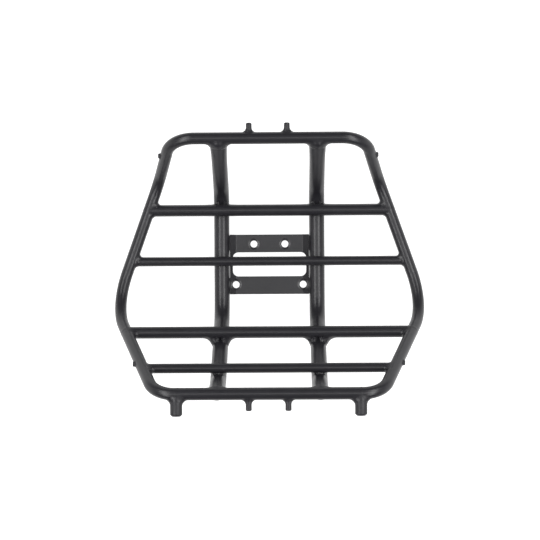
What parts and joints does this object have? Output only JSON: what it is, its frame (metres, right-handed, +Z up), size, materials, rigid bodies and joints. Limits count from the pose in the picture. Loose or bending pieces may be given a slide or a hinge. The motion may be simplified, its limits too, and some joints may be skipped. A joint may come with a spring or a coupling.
{
  "type": "tubular luggage rack",
  "caption": "Welded luggage tray of black tube: wide six-sided perimeter, both ends turned up, cross bars over two struts, bolted down through a plate.",
  "frame": {"origin": "centre of the bounding box's lower face, on the surface that the rack's struts and plate lie on", "axes": "+X across the rack, +Y towards its low end, +Z up, out of the open side of the tray"},
  "size_m": [0.4352, 0.3908, 0.2224],
  "materials": {
    "powder_coated_tube": "satin black powder coat with fine orange peel",
    "powder_coated_plate": "satin black powder coat on bent sheet",
    "powder_coated_boss": "satin black powder coat on turned pieces"
  },
  "bodies": {
    "root": {"perimeter_hoop_low_end": "powder_coated_tube", "perimeter_hoop_tall_end": "powder_coated_tube", "cross_bar_1": "powder_coated_tube", "cross_bar_2": "powder_coated_tube", "cross_bar_3": "powder_coated_tube", "cross_bar_4": "powder_coated_tube", "strut_left": "powder_coated_tube", "strut_right": "powder_coated_tube", "mounting_plate": "powder_coated_plate", "light_boss_low_end_left": "powder_coated_boss", "light_boss_low_end_right": "powder_coated_boss", "light_boss_tall_end_left": "powder_coated_boss", "light_boss_tall_end_right": "powder_coated_boss", "corner_post_left": "powder_coated_boss", "corner_post_right": "powder_coated_boss", "side_boss_low_end_left": "powder_coated_boss", "side_boss_low_end_right": "powder_coated_boss", "side_boss_tall_end_left": "powder_coated_boss", "side_boss_tall_end_right": "powder_coated_boss"}
  },
  "joints": []
}
